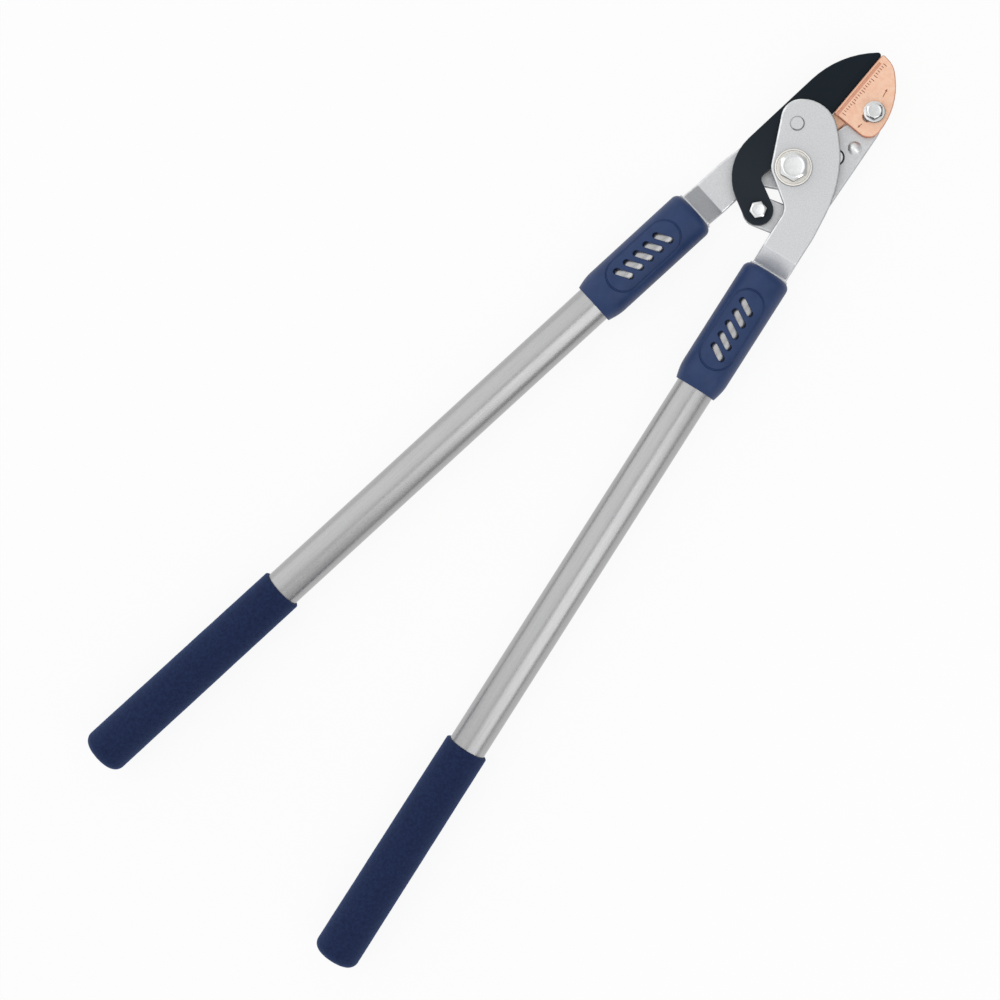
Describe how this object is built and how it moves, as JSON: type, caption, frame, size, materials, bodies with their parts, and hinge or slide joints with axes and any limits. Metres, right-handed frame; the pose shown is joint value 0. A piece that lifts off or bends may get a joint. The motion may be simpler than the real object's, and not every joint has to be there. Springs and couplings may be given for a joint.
{
  "type": "anvil lopper",
  "caption": "Long handled anvil lopper with a compound linkage: coated blade, sliding copper coloured anvil, aluminium tubes, plastic collars and foam grips.",
  "frame": {"origin": "main pivot axis, on the plane that the tool rests on when it lies on its back", "axes": "+Y along the middle line towards the jaws, +X to the anvil side, +Z out of the front along the main bolt"},
  "size_m": [0.2378, 0.6919, 0.0326],
  "materials": {
    "silver_paint": "fine silver metallic paint on steel plate",
    "bare_aluminium": "satin drawn tube",
    "black_coat": "smooth black non-stick coating on steel",
    "copper": "matte copper coloured finish on a cast light alloy",
    "zinc": "bright zinc plating",
    "pale_zinc": "pale yellow passivated zinc",
    "navy_plastic": "satin moulded plastic",
    "navy_foam": "fine closed cell foam",
    "black_nylon": "satin nylon",
    "white_nylon": "satin nylon"
  },
  "bodies": {
    "right_handle": {"right_tang": "silver_paint", "right_tube": "bare_aluminium", "right_collar": "navy_plastic", "right_grip": "navy_foam", "right_socket": "white_nylon", "right_cross_pins": "zinc", "right_end_plug": "black_nylon", "main_bolt": "zinc", "main_front_washer": "pale_zinc", "main_rear_washer": "pale_zinc", "main_nut": "zinc", "main_spacer": "zinc", "blade_rivet": "silver_paint"},
    "left_handle": {"left_tang": "silver_paint", "left_tube": "bare_aluminium", "left_collar": "navy_plastic", "left_grip": "navy_foam", "left_socket": "white_nylon", "left_cross_pins": "zinc", "left_end_plug": "black_nylon", "carrier_rivet": "zinc"},
    "blade": {"blade": "black_coat", "blade_bush": "black_nylon", "tail_bolt": "zinc", "tail_washer": "zinc", "tail_nut": "zinc"},
    "carrier": {"anvil_carrier": "silver_paint", "carrier_bush": "black_nylon", "stop_stud": "zinc", "anvil_bolt": "zinc", "anvil_nut": "zinc"},
    "anvil": {"anvil": "copper"}
  },
  "joints": [
    {"name": "handle_pivot", "type": "hinge", "parent": "right_handle", "child": "left_handle", "pos_m": [0, 0, 0.0159], "axis": [0, 0, -1], "range_deg": [0, 50]},
    {"name": "blade_pivot", "type": "hinge", "parent": "right_handle", "child": "blade", "pos_m": [-0.01646, 0.02351, 0.01805], "axis": [0, 0, -1], "range_deg": [0, 16.4]},
    {"name": "carrier_pivot", "type": "hinge", "parent": "left_handle", "child": "carrier", "pos_m": [0.01646, 0.02351, 0.01375], "axis": [0, 0, 1], "range_deg": [0, 16.4]},
    {"name": "anvil_slide", "type": "slide", "parent": "carrier", "child": "anvil", "axis": [0.2419, 0.9703, 0], "range_m": [0, 0.005]}
  ],
  "couplings": [
    {"joint": "blade_pivot", "follows": "handle_pivot", "ratio": 0.326},
    {"joint": "carrier_pivot", "follows": "handle_pivot", "ratio": 0.326}
  ]
}
